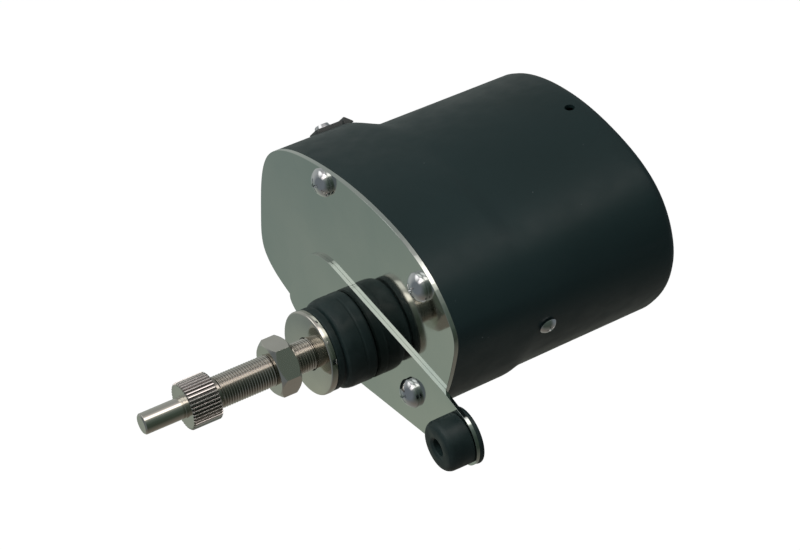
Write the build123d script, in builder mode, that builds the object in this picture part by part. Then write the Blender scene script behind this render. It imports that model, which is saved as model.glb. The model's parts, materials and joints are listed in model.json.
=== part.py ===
from build123d import *
import os
from math import acos, atan2, cos, degrees, hypot, pi, radians, sin, sqrt, tan

# Windscreen wiper motor. Millimetres.
# The wiper spindle lies along Y and points to -Y. The origin is on the spindle's
# axis, in the front face of the front plate. +X runs from the spindle to the foot
# of the mounting bracket, and +Z is the side of the spindle that the housing is on.

# ---------------------------------------------------------------- driving sizes
plate_thickness = 1.5
bracket_thickness = 1.2
cover_wall = 1.2
cover_gap = 0.4
vent_radius = 1.65
vent_from_rear = 7.0
housing_depth = 86.0
collar_depth = 24.5
shoulder_depth = 8.0
rear_edge_round = 2.8

bush_radius = 5.3
bush_reach = 52.2
bush_step = 1.0
bush_flange_radius = 9.0
bush_flange_thickness = 2.0
spindle_radius = 3.5
spindle_reach = 77.5
spindle_chamfer = 0.5
running_clearance = 0.04

driver_radius = 7.9
driver_length = 10.2
driver_gap = 0.6
driver_teeth = 40
driver_tooth_depth = 0.75
driver_seat_radius = 3.7
driver_seat_lead = 0.5
driver_chamfer = 0.5

nut_across_flats = 17.0
nut_thickness = 7.3
nut_front = 32.3
nut_angle = 7.5
nut_chamfer = 0.3
nut_chamfer_slope = 40.0
washer_radius = 14.0
washer_thickness = 2.9
washer_chamfer = 0.7
washer_gap = 0.35

boot_length = 14.7
boot_ring_radius = 15.1
boot_front_radius = 13.9
boot_front_width = 3.0
boot_groove_radius = 13.0
boot_groove_width = 1.3
boot_clearance = 0.15

bracket_half_width = 19.1
neck_distance = 52.0
neck_radius = 12.4
foot_distance = 63.6
foot_radius = 10.2
grommet_radius = 8.25
grommet_height = 8.9
grommet_hole_radius = 2.75
grommet_neck = 2.6

screw_head_radius = 4.8
screw_head_height = 2.3
screw_radius = 2.5
screw_grip = 7.0

case_wall = 2.5
case_floor = 24.0
case_floor_thickness = 2.5
gasket_thickness = 0.4

output_module = 1.0
output_teeth = 12
sector_teeth = 36
sector_angle = 150.0
sector_swing = 17.5
sector_pin_radius = 14.0
train_module = 0.5
pinion_teeth = 12
wheel_teeth = 60
pressure_angle = 25.0
tooth_backlash = 0.12

yoke_radius = 27.0
yoke_wall = 2.0
magnet_thickness = 5.0
magnet_gap = 20.0
air_gap = 0.7
end_plate_thickness = 2.5
end_boss_length = 3.5
end_clearance = 4.8
winding_depth = 2.9
winding_clearance = 4.1
commutator_radius = 8.2
commutator_length = 9.0
brush_length = 8.0
brush_clearance = 0.15

axle_radius = 1.8
axle_boss_radius = 3.6
crank_pin_radius = 1.3
link_pin_radius = 1.5
link_pin_boss = 3.6
sector_axle_radius = 2.5
sector_hub_radius = 5.6
link_width = 6.2
bearing_wall = 2.5
armature_shaft_radius = 2.5
armature_seat_radius = 1.5
armature_bush_radius = 6.0
rear_bush_radius = 5.0

terminal_depth = 22.2
terminal_share = 0.367
terminal_length = 10.4
terminal_width = 8.0
terminal_height = 1.7
terminal_screw_radius = 2.9
terminal_head_height = 1.4
terminal_shank_radius = 1.5
tab_length = 3.6
tab_width = 5.0
tab_height = 2.7
cover_screw_radius = 1.5
cover_screw_head = 2.9
cover_screw_lift = 0.2

# ------------------------------------------------------------ outlines and helpers
# The housing's outline, counter-clockwise as (X, Z): each point in the front plate's plane,
# the same point where the cover has drawn in to the motor can, and how evenly it draws in
# along the depth (1) rather than all at the shoulder (0).
housing_outline = [
    ((60.0, 38.7), (54.0, 32.0), 1.0),
    ((46.5, 51.5), (45.5, 46.6), 0.9),
    ((22.0, 57.7), (25.5, 55.5), 0.35),
    ((-19.4, 55.1), (-14.0, 56.2), 0.0),
    ((-51.0, 40.8), (-43.0, 41.2), 0.0),
    ((-61.4, 11.5), (-55.3, 11.7), 0.0),
    ((-62.0, -1.9), (-55.8, -0.9), 0.0),
    ((-43.2, -12.7), (-37.5, -12.1), 0.0),
    ((-6.0, -18.4), (-4.5, -15.6), 0.0),
    ((20.1, -15.2), (18.0, -13.9), 0.1),
    ((40.5, -4.9), (36.1, -6.6), 0.35),
    ((47.9, 1.9), (42.4, -0.8), 0.5),
    ((59.6, 25.5), (54.1, 20.2), 1.0),
]


def front(y):
    """Plane at depth y whose x and y are the world's X and Z; -amount goes to +Y."""
    return Plane(origin=(0, y, 0), x_dir=(1, 0, 0), z_dir=(0, -1, 0))


def turning(x, z):
    """Plane for a profile of (radius, Y) turned about the line through (x, z) along Y."""
    return Plane(origin=(x, 0, z), x_dir=(1, 0, 0), z_dir=(0, 0, 1))


def y_axis(x, z):
    return Axis((x, 0, z), (0, 1, 0))


def toward(point, angle, distance):
    return (point[0] + distance * cos(radians(angle)), point[1] + distance * sin(radians(angle)))


def smooth(points):
    """The closed smooth curve through the points, in a plane of its own."""
    return Edge.make_spline([Vector(x, z) for x, z in points], periodic=True)


def on_curve(curve, share):
    """A point of a counter-clockwise closed curve and its outward direction."""
    at, along = curve.position_at(share), curve.tangent_at(share)
    return (at.X, at.Y), (along.Y, -along.X)


def inset(points, distance):
    """The points of the closed smooth outline, each moved inwards by a distance."""
    curve = smooth(points)
    moved = []
    for x, z in points:
        _, (out_x, out_z) = on_curve(curve, curve.param_at_point(Vector(x, z)))
        moved.append((x - distance * out_x, z - distance * out_z))
    return moved


def housing_section(y):
    """The cover's outer outline at depth y."""
    even = (y - plate_thickness) / (housing_depth - plate_thickness)
    step = min(max((y - plate_thickness - collar_depth) / shoulder_depth, 0.0), 1.0)
    step = step * step * (3 - 2 * step)
    section = []
    for plate, can, evenness in housing_outline:
        share = evenness * even + (1 - evenness) * step
        section.append(tuple(a + (b - a) * share for a, b in zip(plate, can)))
    return section


def cover_seat(y, share, gap=0.0):
    """Plane on the cover's wall at depth y, a gap off it: local x is the depth, z points out."""
    (x, z), (out_x, out_z) = on_curve(smooth(housing_section(y)), share)
    (next_x, next_z), _ = on_curve(smooth(housing_section(y + 1)), share)
    slope = (next_x - x) * out_x + (next_z - z) * out_z
    out = Vector(out_x, -slope, out_z).normalized()
    return Plane(origin=Vector(x, y, z) + out * gap, x_dir=(slope * out_x, 1, slope * out_z), z_dir=out)


def involute(angle):
    return tan(angle) - angle


def tooth_flank(module, teeth, radius):
    """Half the angle of a tooth at a radius, in radians."""
    pitch = module * teeth / 2
    base = pitch * cos(radians(pressure_angle))
    at = acos(min(1.0, base / radius))
    half = pi / (2 * teeth) - tooth_backlash / (2 * pitch)
    return half + involute(radians(pressure_angle)) - involute(at)


def gear_teeth(centre, module, teeth, phase, count=None):
    """Outline points of gear teeth round a centre, the first tooth centred at phase degrees."""
    pitch = module * teeth / 2
    tip, root = pitch + 0.9 * module, pitch - 1.2 * module
    low = max(root, pitch * cos(radians(pressure_angle)) * 1.002)
    points = []
    for i in range(teeth if count is None else count):
        middle = radians(phase + 360.0 * i / teeth)
        rise = [(root, tooth_flank(module, teeth, low)), (low, tooth_flank(module, teeth, low)),
                (pitch, tooth_flank(module, teeth, pitch)), (tip, tooth_flank(module, teeth, tip))]
        if low - root < 0.05:
            rise = rise[1:]
        for r, a in rise:
            points.append((centre[0] + r * cos(middle - a), centre[1] + r * sin(middle - a)))
        for r, a in reversed(rise):
            points.append((centre[0] + r * cos(middle + a), centre[1] + r * sin(middle + a)))
    return points


# ------------------------------------------------------------------ derived places
case_front = plate_thickness + gasket_thickness
case_back = case_floor + case_floor_thickness
case_outline = inset(housing_section(case_back), cover_wall + cover_gap)
case_inside = inset(case_outline, case_wall)
spindle = (0.0, 0.0)
boot_front = -bracket_thickness - boot_length
washer_front = boot_front - washer_thickness
driver_back = -bush_reach - driver_gap
driver_front = driver_back - driver_length

output_radius = output_module * output_teeth / 2
sector_radius = output_module * sector_teeth / 2
sector_centre = toward(spindle, sector_angle, output_radius + sector_radius)
mesh_angle = sector_angle - 180.0
train_centres = train_module * (pinion_teeth + wheel_teeth) / 2
wheel_radius = train_module * wheel_teeth / 2
crank_centre = (-31.0, 30.0)
idler_angle = -30.0
idler_centre = toward(crank_centre, idler_angle, train_centres)
armature_angle = 10.0
motor_centre = toward(idler_centre, armature_angle, train_centres)

# The sector's pin swings evenly to both sides of rest, which sets the crank and link.
pin_rest = toward(sector_centre, mesh_angle + 90.0, sector_pin_radius)
pin_near = toward(sector_centre, mesh_angle + 90.0 + sector_swing, sector_pin_radius)
pin_far = toward(sector_centre, mesh_angle + 90.0 - sector_swing, sector_pin_radius)
reach_near = hypot(pin_near[0] - crank_centre[0], pin_near[1] - crank_centre[1])
reach_far = hypot(pin_far[0] - crank_centre[0], pin_far[1] - crank_centre[1])
crank_radius = abs(reach_far - reach_near) / 2
link_length = (reach_far + reach_near) / 2
reach_rest = hypot(pin_rest[0] - crank_centre[0], pin_rest[1] - crank_centre[1])
rest_cosine = (reach_rest**2 + crank_radius**2 - link_length**2) / (2 * reach_rest * crank_radius)
rest_turn = degrees(acos(rest_cosine))
rest_line = degrees(atan2(pin_rest[1] - crank_centre[1], pin_rest[0] - crank_centre[0]))
crank_pin_centre = toward(crank_centre, rest_line - rest_turn, crank_radius)
link_angle = degrees(atan2(crank_pin_centre[1] - pin_rest[1], crank_pin_centre[0] - pin_rest[0]))

# The electric motor, from the case floor to the cover's rear wall and from the yoke inwards.
yoke_end = housing_depth - cover_wall - end_clearance - end_boss_length - end_plate_thickness
yoke_bore = yoke_radius - yoke_wall
core_radius = yoke_bore - magnet_thickness - air_gap
commutator_front = yoke_end - 2.6 - commutator_length
core_front = case_back + winding_clearance + winding_depth
core_back = commutator_front - winding_depth
brush_start = commutator_radius + brush_clearance
spring_start = brush_start + brush_length + 0.05
spring_end = yoke_bore - 2.6

# Layers along the spindle, from the front plate to the case floor.
sector_front, sector_back = plate_thickness + 3.5, plate_thickness + 6.5
link_front, link_back = sector_back + 0.3, sector_back + 1.8
crank_front, crank_back = link_back + 2.7, link_back + 5.7
wheel_front, wheel_back = crank_back + 1.5, crank_back + 5.0

plate_screw_spots = [(-12.3, 51.6), (44.1, 44.6)]
bracket_screw_spots = [(35.5, -0.7), (-24.0, -9.0)]
all_screw_spots = plate_screw_spots + bracket_screw_spots

# Side screws that hold the cover to the lugs of the gear case: depth and share of the outline.
cover_screw_places = [(35.5, 0.953), (41.0, 0.43)]
cover_screw_seats = [cover_seat(depth, share) for depth, share in cover_screw_places]

# ---------------------------------------------------------------- fixed housing
with BuildPart() as front_plate:
    with BuildSketch(front(0)):
        with BuildLine():
            Spline(*housing_section(plate_thickness), periodic=True)
        make_face()
        Circle(bush_radius + bush_step + 0.05, mode=Mode.SUBTRACT)
        with Locations(*all_screw_spots):
            Circle(screw_radius + 0.2, mode=Mode.SUBTRACT)
        with Locations(sector_centre):
            Circle(sector_axle_radius - 0.5, mode=Mode.SUBTRACT)
    extrude(amount=-plate_thickness)

with BuildPart() as plate_gasket:
    with BuildSketch(front(plate_thickness)):
        with BuildLine():
            Spline(*case_outline, periodic=True)
        make_face()
        with BuildLine():
            Spline(*case_inside, periodic=True)
        make_face(mode=Mode.SUBTRACT)
        with Locations(*all_screw_spots):
            Circle(screw_radius + 0.2, mode=Mode.SUBTRACT)
    extrude(amount=-gasket_thickness)

with BuildPart() as gear_case:
    with BuildSketch(front(case_front)):
        with BuildLine():
            Spline(*case_outline, periodic=True)
        make_face()
    extrude(amount=-(case_back - case_front))
    # The deep pocket, and the shallow one that leaves the screw bosses standing.
    boss_end = case_front + screw_grip + 1.5
    with BuildSketch(front(boss_end)):
        with BuildLine():
            Spline(*case_inside, periodic=True)
        make_face()
    extrude(amount=-(case_floor - boss_end), mode=Mode.SUBTRACT)
    with BuildSketch(front(case_front)):
        with BuildLine():
            Spline(*case_inside, periodic=True)
        make_face()
        with Locations(*all_screw_spots):
            Circle(screw_radius + 2.3, mode=Mode.SUBTRACT)
    extrude(amount=-(boss_end - case_front), mode=Mode.SUBTRACT)
    # Bearing boss of the spindle and the bosses of the fixed axles.
    with BuildSketch(front(wheel_front - 4.0)):
        Circle(spindle_radius + bearing_wall + 2.0)
    extrude(amount=-(case_back - wheel_front + 4.0))
    with BuildSketch(front(wheel_back + 0.8)):
        with Locations(idler_centre, crank_centre):
            Circle(axle_boss_radius)
    extrude(amount=-(case_floor - wheel_back))
    with BuildSketch(front(case_floor - 1.0)):
        with Locations(motor_centre):
            Circle(armature_bush_radius + 3.0)
    extrude(amount=-(case_floor_thickness + 3.0))
    # Lugs behind the floor for the cover's side screws.
    for seat in cover_screw_seats:
        lug_end = seat.origin.Y + 5.0
        place = (seat * Pos(0, 0, -cover_wall - 0.9 - 2.5)).position
        turn = degrees(atan2(seat.z_dir.Z, seat.z_dir.X))
        with BuildSketch(front(case_floor)):
            with Locations((place.X, place.Z)):
                Rectangle(5.0, 11.0, rotation=turn)
        extrude(amount=-(lug_end - case_floor))
    # Holes: spindle bearing, armature bearing, axles and case screws.
    with BuildSketch(front(case_front)):
        Circle(spindle_radius + bearing_wall)
        with Locations(motor_centre):
            Circle(armature_bush_radius)
        with Locations(idler_centre, crank_centre):
            Circle(axle_radius)
    extrude(amount=-(case_back + 4.0), mode=Mode.SUBTRACT)
    with BuildSketch(front(case_front)):
        with Locations(*all_screw_spots):
            Circle(screw_radius + 0.05)
    extrude(amount=-(screw_grip + 0.5), mode=Mode.SUBTRACT)
    for seat in cover_screw_seats:
        with BuildSketch(seat):
            Circle(cover_screw_radius + 0.05)
        extrude(amount=-12.0, mode=Mode.SUBTRACT)

with BuildPart() as motor_cover:
    shoulder = plate_thickness + collar_depth
    stations = [plate_thickness] + [shoulder + shoulder_depth * i / 6 for i in range(7)]
    stations.append(housing_depth - rear_edge_round)
    for station in stations:
        with BuildSketch(front(station)):
            with BuildLine():
                Spline(*housing_section(station), periodic=True)
            make_face()
    for turn in (30.0, 60.0, 90.0):
        back = housing_depth - rear_edge_round * (1 - sin(radians(turn)))
        draw = rear_edge_round * (1 - cos(radians(turn)))
        with BuildSketch(front(back)):
            with BuildLine():
                Spline(*inset(housing_section(back), draw), periodic=True)
            make_face()
    loft(ruled=True)
    inner_back = housing_depth - cover_wall
    for station in stations[:-1]:
        with BuildSketch(front(station)):
            with BuildLine():
                Spline(*inset(housing_section(station), cover_wall), periodic=True)
            make_face()
    for draw, back in ((cover_wall, housing_depth - rear_edge_round - 0.4), (cover_wall + 1.4, inner_back)):
        with BuildSketch(front(back)):
            with BuildLine():
                Spline(*inset(housing_section(back), draw), periodic=True)
            make_face()
    loft(ruled=True, mode=Mode.SUBTRACT)
    # Vent hole on the upper side near the rear end, and the holes of the side screws.
    vent_place = (7.5, housing_depth - vent_from_rear, 40.0)
    with BuildSketch(Plane(origin=vent_place, x_dir=(1, 0, 0), z_dir=(0, 0, 1))):
        Circle(vent_radius)
    extrude(amount=25.0, mode=Mode.SUBTRACT)
    for seat in cover_screw_seats:
        with BuildSketch(seat):
            Circle(cover_screw_radius + 0.25)
        extrude(amount=5.0, both=True, mode=Mode.SUBTRACT)

with BuildPart() as cover_screws:
    for seat in cover_screw_seats:
        with BuildSketch(seat.offset(cover_screw_lift)):
            Circle(cover_screw_radius)
        extrude(amount=-8.0)
        with BuildSketch(seat.offset(cover_screw_lift)):
            Circle(cover_screw_head)
        extrude(amount=1.4, taper=22)
        with BuildSketch(seat.offset(cover_screw_lift + 1.4)):
            Rectangle(2.8, 0.6)
            Rectangle(0.6, 2.8)
        extrude(amount=-0.8, mode=Mode.SUBTRACT)

# ------------------------------------------------- mounting bracket and its foot
tail_start = (-10.0, bracket_half_width + 1.25)
bracket_tail = [
    tail_start, (-16.3, 20.3), (-22.9, 18.3), (-32.8, 9.4), (-39.2, -1.2), (-43.3, -8.4),
    (-43.9, -11.4), (-41.6, -14.4), (-28.0, -18.9), (tail_start[0], -tail_start[1]),
]
with BuildPart() as mounting_bracket:
    with BuildSketch(front(-bracket_thickness)):
        with Locations((0, 0)):
            Circle(bracket_half_width - 0.15)
        with Locations((neck_distance, 0)):
            Circle(neck_radius)
        with Locations((foot_distance, 0)):
            Circle(foot_radius)
        make_hull()
        with BuildLine():
            Line((0, bracket_half_width), tail_start)
            Spline(*bracket_tail, tangents=[(-1, 0.1), (1, 0.1)])
            Line((tail_start[0], -tail_start[1]), (0, -bracket_half_width))
            Line((0, -bracket_half_width), (0, bracket_half_width))
        make_face()
        Circle(bush_radius + bush_step + 0.05, mode=Mode.SUBTRACT)
        with Locations(*bracket_screw_spots):
            Circle(screw_radius + 0.2, mode=Mode.SUBTRACT)
        with Locations((foot_distance, 0)):
            Circle(grommet_radius - grommet_neck, mode=Mode.SUBTRACT)
    extrude(amount=-bracket_thickness)

with BuildPart() as foot_grommet:
    with BuildSketch(turning(foot_distance, 0)):
        with BuildLine():
            flange_radius = foot_radius - 0.2
            neck = grommet_radius - grommet_neck
            grommet_front = -bracket_thickness - grommet_height
            Polyline(
                (grommet_hole_radius, plate_thickness), (flange_radius - 0.3, plate_thickness),
                (flange_radius, plate_thickness - 0.5), (flange_radius, 0.0), (neck, 0.0),
                (neck, -bracket_thickness), (grommet_radius, -bracket_thickness),
                (grommet_radius, grommet_front + 1.6), (grommet_radius - 0.5, grommet_front + 0.7),
                (grommet_radius - 1.6, grommet_front), (grommet_hole_radius, grommet_front), close=True,
            )
        make_face()
    revolve(axis=y_axis(foot_distance, 0))

# --------------------------------------------------- screws of plate and bracket
with BuildPart() as plate_screws:
    with BuildSketch(front(0)):
        with Locations(*plate_screw_spots):
            Circle(screw_radius)
    extrude(amount=-(case_front + screw_grip))
    with BuildSketch(front(0)):
        with Locations(*plate_screw_spots):
            Circle(screw_head_radius)
    extrude(amount=screw_head_height * 0.35)
    with BuildSketch(front(-screw_head_height * 0.35)):
        with Locations(*plate_screw_spots):
            Circle(screw_head_radius)
    extrude(amount=screw_head_height * 0.65, taper=38)
    with BuildSketch(front(-screw_head_height)):
        with Locations(*plate_screw_spots):
            Rectangle(4.6, 0.9)
            Rectangle(0.9, 4.6)
    extrude(amount=-1.4, mode=Mode.SUBTRACT)

with BuildPart() as bracket_screws:
    with BuildSketch(front(-bracket_thickness)):
        with Locations(*bracket_screw_spots):
            Circle(screw_radius)
    extrude(amount=-(bracket_thickness + case_front + screw_grip))
    with BuildSketch(front(-bracket_thickness)):
        with Locations(*bracket_screw_spots):
            Circle(screw_head_radius)
    extrude(amount=screw_head_height * 0.35)
    with BuildSketch(front(-bracket_thickness - screw_head_height * 0.35)):
        with Locations(*bracket_screw_spots):
            Circle(screw_head_radius)
    extrude(amount=screw_head_height * 0.65, taper=38)
    with BuildSketch(front(-bracket_thickness - screw_head_height)):
        with Locations(*bracket_screw_spots):
            Rectangle(4.6, 0.9)
            Rectangle(0.9, 4.6)
    extrude(amount=-1.4, mode=Mode.SUBTRACT)

# --------------------------------------- bush, boot, washer and nut on the spindle
with BuildPart() as threaded_bush:
    with BuildSketch(turning(0, 0)):
        with BuildLine():
            bore = spindle_radius + running_clearance
            Polyline(
                (bore, -bush_reach), (bush_radius - 0.6, -bush_reach), (bush_radius, -bush_reach + 0.6),
                (bush_radius, -bracket_thickness), (bush_radius + bush_step, -bracket_thickness),
                (bush_radius + bush_step, plate_thickness), (bush_flange_radius, plate_thickness),
                (bush_flange_radius, plate_thickness + bush_flange_thickness),
                (bore, plate_thickness + bush_flange_thickness), close=True,
            )
        make_face()
    revolve(axis=y_axis(0, 0))

with BuildPart() as rubber_boot:
    with BuildSketch(turning(0, 0)):
        with BuildLine():
            boot_bore = bush_radius + boot_clearance
            step_bore = bush_radius + bush_step + boot_clearance + 0.2
            back = -bracket_thickness
            groove_front = boot_front + boot_front_width
            groove_back = groove_front + boot_groove_width
            Polyline(
                (step_bore, back), (boot_ring_radius - 0.5, back), (boot_ring_radius, back - 0.6),
                (boot_ring_radius, back - 3.3), (boot_ring_radius - 0.35, back - 3.7),
                (boot_ring_radius, back - 4.1),
                (boot_ring_radius, groove_back + 2.4), (boot_ring_radius - 0.4, groove_back + 0.5),
                (boot_ring_radius - 0.7, groove_back), (boot_groove_radius, groove_back - 0.3),
                (boot_groove_radius, groove_front + 0.3), (boot_front_radius - 0.5, groove_front),
                (boot_front_radius, groove_front - 0.6), (boot_front_radius, boot_front + 0.6),
                (boot_front_radius - 0.6, boot_front), (boot_bore, boot_front), (boot_bore, back - 1.2),
                (step_bore, back - 1.2), close=True,
            )
        make_face()
    revolve(axis=y_axis(0, 0))

with BuildPart() as panel_washer:
    with BuildSketch(turning(0, 0)):
        with BuildLine():
            washer_bore = bush_radius + washer_gap
            Polyline(
                (washer_bore, boot_front), (washer_radius - 0.3, boot_front),
                (washer_radius, boot_front - 0.3), (washer_radius, washer_front + washer_chamfer),
                (washer_radius - washer_chamfer, washer_front), (washer_bore, washer_front), close=True,
            )
        make_face()
    revolve(axis=y_axis(0, 0))

with BuildPart() as panel_nut:
    with BuildSketch(front(-nut_front)):
        RegularPolygon(nut_across_flats / 2, 6, major_radius=False, rotation=nut_angle)
        Circle(bush_radius + 0.05, mode=Mode.SUBTRACT)
    extrude(amount=-nut_thickness)
    # Both ends are turned down at the corners.
    with BuildSketch(turning(0, 0)):
        with BuildLine():
            face = nut_across_flats / 2 - nut_chamfer
            wide = nut_across_flats / 2 / cos(pi / 6) + 1
            drop = (wide - face) * tan(radians(nut_chamfer_slope))
            nut_back = nut_thickness - nut_front
            Polyline(
                (0, -nut_front), (face, -nut_front), (wide, drop - nut_front),
                (wide, nut_back - drop), (face, nut_back), (0, nut_back), close=True,
            )
        make_face()
    revolve(axis=y_axis(0, 0), mode=Mode.INTERSECT)

# ------------------------------------------------------------ terminal on the collar
terminal_seat = cover_seat(terminal_depth, terminal_share, 0.15)
terminal_screw_place = (-1.2, 0)
with BuildPart() as terminal_block:
    with BuildSketch(terminal_seat):
        RectangleRounded(terminal_length, terminal_width, 1.2)
    extrude(amount=terminal_height)
    with BuildSketch(terminal_seat):
        with Locations(terminal_screw_place):
            Circle(terminal_shank_radius + 0.1)
    extrude(amount=terminal_height, mode=Mode.SUBTRACT)

# The tab is a wedge behind the block, steep towards the screw.
tab_front = terminal_length / 2
tab_plane = Plane(origin=terminal_seat.origin, x_dir=terminal_seat.x_dir, z_dir=-terminal_seat.y_dir)
with BuildPart() as terminal_blade:
    with BuildSketch(tab_plane):
        with BuildLine():
            Polyline(
                (tab_front, 0), (tab_front + 0.5, tab_height - 0.5), (tab_front + 0.9, tab_height),
                (tab_front + 1.4, tab_height - 0.2), (tab_front + tab_length, 0.4),
                (tab_front + tab_length, 0), close=True,
            )
        make_face()
    extrude(amount=tab_width / 2, both=True)

with BuildPart() as terminal_screw:
    with BuildSketch(terminal_seat.offset(0.05)):
        with Locations(terminal_screw_place):
            Circle(terminal_shank_radius)
    extrude(amount=terminal_height - 0.05)
    with BuildSketch(terminal_seat.offset(terminal_height)):
        with Locations(terminal_screw_place):
            Circle(terminal_screw_radius)
    extrude(amount=terminal_head_height, taper=24)
    with BuildSketch(terminal_seat.offset(terminal_height + terminal_head_height)):
        with Locations(terminal_screw_place):
            Rectangle(2.2 * terminal_screw_radius, 0.7)
    extrude(amount=-terminal_head_height / 2, mode=Mode.SUBTRACT)

# -------------------------------------------------------- bearings and fixed axles
with BuildPart() as spindle_rear_bush:
    with BuildSketch(front(wheel_front - 4.0)):
        Circle(spindle_radius + bearing_wall)
        Circle(spindle_radius + running_clearance, mode=Mode.SUBTRACT)
    extrude(amount=-9.0)

with BuildPart() as armature_front_bush:
    with BuildSketch(front(case_floor - 1.0)):
        with Locations(motor_centre):
            Circle(armature_bush_radius)
            Circle(armature_shaft_radius + running_clearance, mode=Mode.SUBTRACT)
    extrude(amount=-(case_floor_thickness + 3.0))

with BuildPart() as armature_rear_bush:
    with BuildSketch(front(yoke_end)):
        with Locations(motor_centre):
            Circle(rear_bush_radius)
            Circle(armature_shaft_radius + running_clearance, mode=Mode.SUBTRACT)
    extrude(amount=-(end_plate_thickness + end_boss_length))

with BuildPart() as idler_axle:
    with BuildSketch(front(crank_front - 1.0)):
        with Locations(idler_centre):
            Circle(axle_radius)
    extrude(amount=-(case_back - crank_front + 1.0))

with BuildPart() as crank_axle:
    with BuildSketch(front(crank_front - 0.8)):
        with Locations(crank_centre):
            Circle(axle_radius)
    extrude(amount=-(case_back - crank_front + 0.8))

with BuildPart() as sector_axle:
    with BuildSketch(front(0)):
        with Locations(sector_centre):
            Circle(sector_axle_radius - 0.5)
    extrude(amount=-plate_thickness)
    with BuildSketch(front(plate_thickness)):
        with Locations(sector_centre):
            Circle(sector_axle_radius + 2.0)
    extrude(amount=-(sector_front - plate_thickness - 0.5))
    with BuildSketch(front(sector_front - 0.5)):
        with Locations(sector_centre):
            Circle(sector_axle_radius)
    extrude(amount=-(sector_back - sector_front + 0.7))

# ----------------------------------------------------------------- electric motor
with BuildPart() as motor_yoke:
    with BuildSketch(front(case_back)):
        with Locations(motor_centre):
            Circle(yoke_radius)
            Circle(yoke_bore, mode=Mode.SUBTRACT)
    extrude(amount=-(yoke_end - case_back))

with BuildPart() as field_magnets:
    with BuildSketch(front(core_front - 2.0)):
        with Locations(motor_centre):
            Circle(yoke_bore)
            Circle(yoke_bore - magnet_thickness, mode=Mode.SUBTRACT)
            Rectangle(2 * yoke_radius, magnet_gap, mode=Mode.SUBTRACT)
    extrude(amount=-(core_back - core_front + 4.0))

with BuildPart() as motor_end_plate:
    with BuildSketch(front(yoke_end)):
        with Locations(motor_centre):
            Circle(yoke_radius)
            Circle(rear_bush_radius, mode=Mode.SUBTRACT)
    extrude(amount=-end_plate_thickness)
    with BuildSketch(front(yoke_end + end_plate_thickness)):
        with Locations(motor_centre):
            Circle(rear_bush_radius + 3.0)
            Circle(rear_bush_radius, mode=Mode.SUBTRACT)
    extrude(amount=-end_boss_length)

# The brush plate carries a box on each side, which is open at both ends.
box_start, box_end = brush_start + 2.65, yoke_bore - 2.0
box_places = [(motor_centre[0] + side * (box_start + box_end) / 2, motor_centre[1]) for side in (-1, 1)]
with BuildPart() as brush_plate:
    with BuildSketch(front(yoke_end - 3.0)):
        with Locations(motor_centre):
            Circle(yoke_bore)
            Circle(commutator_radius + 1.3, mode=Mode.SUBTRACT)
    extrude(amount=-2.0)
    with BuildSketch(front(yoke_end - 11.0)):
        with Locations(*box_places):
            Rectangle(box_end - box_start, 8.6)
            Rectangle(box_end - box_start + 2.0, 5.2, mode=Mode.SUBTRACT)
    extrude(amount=-8.0)

with BuildPart() as carbon_brushes:
    for side in (-1, 1):
        with BuildSketch(front(yoke_end - 9.6)):
            with Locations((motor_centre[0] + side * (brush_start + brush_length / 2), motor_centre[1])):
                Rectangle(brush_length, 5.0)
        extrude(amount=-5.2)

with BuildPart() as brush_springs:
    for side in (-1, 1):
        with BuildSketch(front(yoke_end - 8.6)):
            with Locations((motor_centre[0] + side * (spring_start + spring_end) / 2, motor_centre[1])):
                Rectangle(spring_end - spring_start, 3.6)
        extrude(amount=-3.2)

# ------------------------------------------------------------ swinging output shaft
with BuildPart() as wiper_spindle:
    with BuildSketch(turning(0, 0)):
        with BuildLine():
            spindle_back = wheel_front + 4.0
            seat_front, seat_back = driver_front - driver_seat_lead, driver_back + 0.3
            Polyline(
                (0, -spindle_reach), (spindle_radius - spindle_chamfer, -spindle_reach),
                (spindle_radius, -spindle_reach + spindle_chamfer), (spindle_radius, seat_front),
                (driver_seat_radius, seat_front), (driver_seat_radius, seat_back),
                (spindle_radius, seat_back), (spindle_radius, spindle_back - 0.5),
                (spindle_radius - 0.5, spindle_back), (0, spindle_back), close=True,
            )
        make_face()
    revolve(axis=y_axis(0, 0))

with BuildPart() as knurled_driver:
    with BuildSketch(front(driver_front)):
        with BuildLine():
            knurl = []
            root = driver_radius - driver_tooth_depth
            tooth = [(-0.36, root), (-0.14, driver_radius), (0.14, driver_radius), (0.36, root)]
            for i in range(driver_teeth):
                for part, radius in tooth:
                    at = 2 * pi * (i + part) / driver_teeth
                    knurl.append((radius * cos(at), radius * sin(at)))
            Polyline(*knurl, close=True)
        make_face()
        Circle(driver_seat_radius, mode=Mode.SUBTRACT)
    extrude(amount=-driver_length)
    # Both ends of the teeth are chamfered.
    with BuildSketch(turning(0, 0)):
        with BuildLine():
            outside = driver_radius + 0.1
            Polyline(
                (0, driver_front), (outside - driver_chamfer, driver_front),
                (outside, driver_front + driver_chamfer), (outside, driver_back - driver_chamfer),
                (outside - driver_chamfer, driver_back), (0, driver_back), close=True,
            )
        make_face()
    revolve(axis=y_axis(0, 0), mode=Mode.INTERSECT)

with BuildPart() as output_pinion:
    with BuildSketch(front(sector_front - 0.7)):
        with BuildLine():
            phase = sector_angle + 180.0 / output_teeth
            Polyline(*gear_teeth(spindle, output_module, output_teeth, phase), close=True)
        make_face()
        Circle(spindle_radius, mode=Mode.SUBTRACT)
    extrude(amount=-(sector_back - sector_front + 1.4))

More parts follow.
